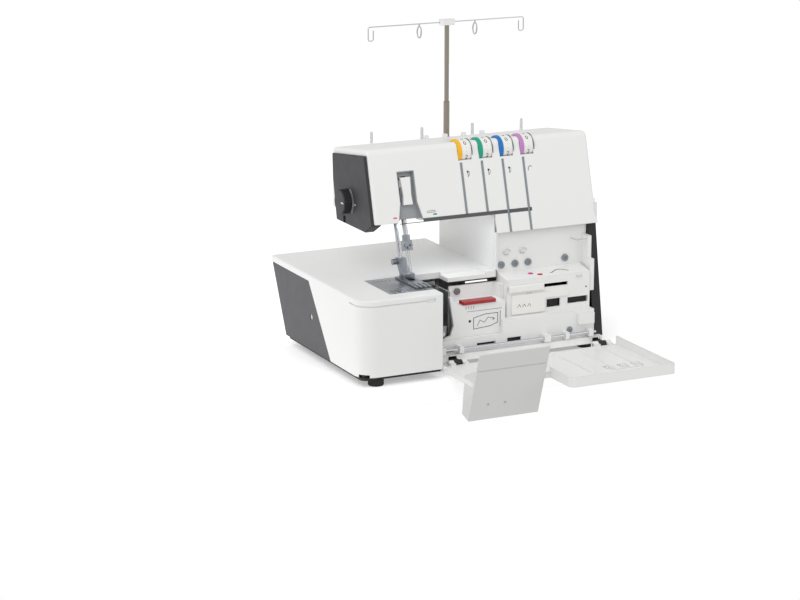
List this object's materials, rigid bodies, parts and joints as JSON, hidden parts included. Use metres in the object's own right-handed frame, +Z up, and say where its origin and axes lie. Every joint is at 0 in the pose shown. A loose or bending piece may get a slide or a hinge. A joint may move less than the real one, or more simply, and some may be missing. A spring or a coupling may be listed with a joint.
{
  "type": "coverlock sewing machine",
  "caption": "Domestic coverlock sewing machine with a leaning head, tension dials, free bed, spool stand with telescopic thread mast, and its looper door open.",
  "frame": {"origin": "middle of the front left rubber foot's underside, on the table", "axes": "+X to the machine's right, +Y to its back, +Z up the spool pins and the thread mast"},
  "size_m": [0.428, 0.453, 0.4935],
  "materials": {
    "shell_white": "satin moulded",
    "panel_dark": "fine satin",
    "panel_grey": "fine satin",
    "moulding_black": "satin",
    "plate_white": "satin moulded",
    "steel": "brushed",
    "bright_steel": "polished",
    "casting": "as cast",
    "bearing_bronze": "machined",
    "mast_metal": "satin",
    "dial_yellow": "satin moulded",
    "dial_green": "satin moulded",
    "dial_blue": "satin moulded",
    "dial_purple": "satin moulded",
    "lever_red": "satin moulded",
    "slot_grey": "satin",
    "liner_grey": "satin",
    "cream": "satin moulded",
    "pin_white": "satin, slightly clear",
    "lamp": "diffusing",
    "rubber_black": "matt",
    "motor_black": "satin"
  },
  "bodies": {
    "base": {"rubber_feet": "rubber_black", "base_tray": "moulding_black", "bed_cover": "shell_white", "bed_side_panel": "panel_grey", "cover_screws": "steel", "dial_axle": "steel", "door_link_rod": "bright_steel", "edge_trim": "panel_dark", "head_cover": "shell_white", "head_end_panel": "panel_dark", "column_cover": "shell_white", "column_side_cover": "moulding_black", "lamp_lenses": "lamp", "looper_frame": "casting", "looper_guide_plate": "cream", "looper_panel": "shell_white", "looper_thread_hook": "bright_steel", "main_frame": "casting", "mast_lower_tube": "mast_metal", "motor": "motor_black", "needle_plate": "steel", "power_inlet": "moulding_black", "rear_cover": "shell_white", "shaft_bushes": "bearing_bronze", "bar_bushes": "bearing_bronze", "spool_discs": "shell_white", "spool_pins": "pin_white", "spool_tray": "shell_white", "take_up_recess": "liner_grey", "tension_discs": "bright_steel", "thread_slot_trims": "slot_grey", "top_thread_guides": "bright_steel", "drive_belt": "rubber_black"},
    "main_drive": {"main_shaft": "steel", "handwheel": "shell_white", "drive_pulley": "moulding_black"},
    "motor_drive": {"motor_pulley": "steel"},
    "needle_drive": {"needle_bar": "bright_steel", "needle_clamp": "steel", "needles": "bright_steel", "take_up_lever": "pin_white"},
    "presser": {"presser_bar": "bright_steel", "presser_foot": "bright_steel"},
    "foot_lifter": {"presser_lever": "moulding_black"},
    "feed": {"feed_dog": "steel"},
    "looper_arm": {"looper": "bright_steel"},
    "door": {"looper_door": "shell_white", "cloth_plate": "plate_white", "door_hinge_pins": "steel"},
    "looper_selector": {"looper_select_lever": "lever_red"},
    "thread_slide": {"looper_thread_slide": "cream"},
    "mast_top": {"mast_upper_tube": "mast_metal", "mast_hub": "shell_white", "thread_guide_wire": "bright_steel"},
    "yellow_dial": {"tension_dial_yellow": "dial_yellow"},
    "green_dial": {"tension_dial_green": "dial_green"},
    "blue_dial": {"tension_dial_blue": "dial_blue"},
    "purple_dial": {"tension_dial_purple": "dial_purple"},
    "pressure_knob": {"pressure_dial": "panel_dark"},
    "switch_rocker": {"power_switch": "moulding_black"}
  },
  "joints": [
    {"name": "door_hinge", "type": "hinge", "parent": "base", "child": "door", "pos_m": [0.2385, 0.007, 0.013], "axis": [1, 0, 0], "range_deg": [-108, 0]},
    {"name": "handwheel_turn", "type": "hinge", "parent": "base", "child": "main_drive", "pos_m": [0.382, 0.161, 0.246], "axis": [1, 0, 0], "continuous": true},
    {"name": "motor_turn", "type": "hinge", "parent": "base", "child": "motor_drive", "pos_m": [0.358, 0.186, 0.07], "axis": [1, 0, 0], "continuous": true},
    {"name": "needle_stroke", "type": "slide", "parent": "base", "child": "needle_drive", "axis": [0, 0.2756, 0.9613], "range_m": [-0.02, 0.004]},
    {"name": "presser_lift", "type": "slide", "parent": "base", "child": "presser", "axis": [0, 0.2756, 0.9613], "range_m": [0, 0.007]},
    {"name": "lifter_hinge", "type": "hinge", "parent": "base", "child": "foot_lifter", "pos_m": [0.082, 0.202, 0.232], "axis": [1, 0, 0], "range_deg": [0, 40]},
    {"name": "feed_rise", "type": "slide", "parent": "base", "child": "feed", "axis": [0, 0, 1], "range_m": [-0.0015, 0.0005]},
    {"name": "looper_swing", "type": "hinge", "parent": "base", "child": "looper_arm", "pos_m": [0.12, 0.065, 0.048], "axis": [0, 1, 0], "range_deg": [-8, 8]},
    {"name": "selector_slide", "type": "slide", "parent": "base", "child": "looper_selector", "axis": [1, 0, 0], "range_m": [-0.002, 0.001]},
    {"name": "thread_slide_run", "type": "slide", "parent": "base", "child": "thread_slide", "axis": [1, 0, 0], "range_m": [0, 0.04]},
    {"name": "mast_slide", "type": "slide", "parent": "base", "child": "mast_top", "axis": [0, 0, 1], "range_m": [-0.06, 0]},
    {"name": "yellow_dial_turn", "type": "hinge", "parent": "base", "child": "yellow_dial", "pos_m": [0.183, 0.113, 0.288], "axis": [1, 0, 0], "range_deg": [-150, 150]},
    {"name": "green_dial_turn", "type": "hinge", "parent": "base", "child": "green_dial", "pos_m": [0.2158, 0.113, 0.288], "axis": [1, 0, 0], "range_deg": [-150, 150]},
    {"name": "blue_dial_turn", "type": "hinge", "parent": "base", "child": "blue_dial", "pos_m": [0.2486, 0.113, 0.288], "axis": [1, 0, 0], "range_deg": [-150, 150]},
    {"name": "purple_dial_turn", "type": "hinge", "parent": "base", "child": "purple_dial", "pos_m": [0.2814, 0.113, 0.288], "axis": [1, 0, 0], "range_deg": [-150, 150]},
    {"name": "pressure_turn", "type": "hinge", "parent": "base", "child": "pressure_knob", "pos_m": [0.024, 0.159, 0.222], "axis": [1, 0, 0], "range_deg": [-150, 150]},
    {"name": "switch_rock", "type": "hinge", "parent": "base", "child": "switch_rocker", "pos_m": [0.379, 0.191, 0.092], "axis": [0, 1, 0], "range_deg": [-8, 8]}
  ],
  "couplings": [
    {"joint": "motor_turn", "follows": "handwheel_turn", "ratio": 2.6},
    {"joint": "lifter_hinge", "follows": "presser_lift", "rad_per_m": 99.7}
  ]
}
